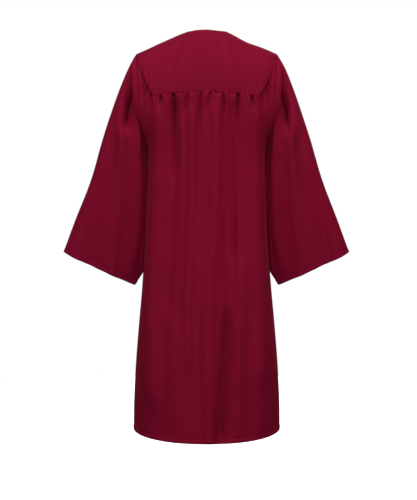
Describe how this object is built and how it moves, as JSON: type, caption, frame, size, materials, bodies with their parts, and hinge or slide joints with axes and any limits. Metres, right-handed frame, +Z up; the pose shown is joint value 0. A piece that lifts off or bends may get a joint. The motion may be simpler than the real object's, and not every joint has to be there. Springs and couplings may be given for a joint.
{
  "type": "graduation gown",
  "caption": "Full-length graduation gown filled out as worn: back yoke, gathered back, open bell sleeves, V neck and zipped front.",
  "frame": {"origin": "midway between the two side neck points, where the wearer's shoulders hold the gown up", "axes": "+Z up, -Y out of the back, +Y out of the front, +X to the wearer's right"},
  "size_m": [0.8986, 0.3898, 1.2413],
  "materials": {
    "gown_cloth": "matte maroon polyester with a fine weave and little sheen",
    "zip_tape": "woven tape, matte, dyed to match",
    "zip_teeth": "moulded coil, dyed to match",
    "zip_metal": "coated zinc, satin"
  },
  "bodies": {
    "gown": {"back_yoke": "gown_cloth", "back_panel": "gown_cloth", "front_left": "gown_cloth", "front_right": "gown_cloth", "sleeve_left_back": "gown_cloth", "sleeve_left_front": "gown_cloth", "sleeve_right_back": "gown_cloth", "sleeve_right_front": "gown_cloth", "zip_tape_left": "zip_tape", "zip_tape_right": "zip_tape", "zip_chain": "zip_teeth", "zip_slider": "zip_metal"},
    "pull": {"zip_pull": "zip_metal"}
  },
  "joints": [
    {"name": "pull_swing", "type": "hinge", "parent": "gown", "child": "pull", "pos_m": [0, 0.09556, -0.1593], "axis": [1, 0, 0], "range_deg": [0, 150]}
  ]
}
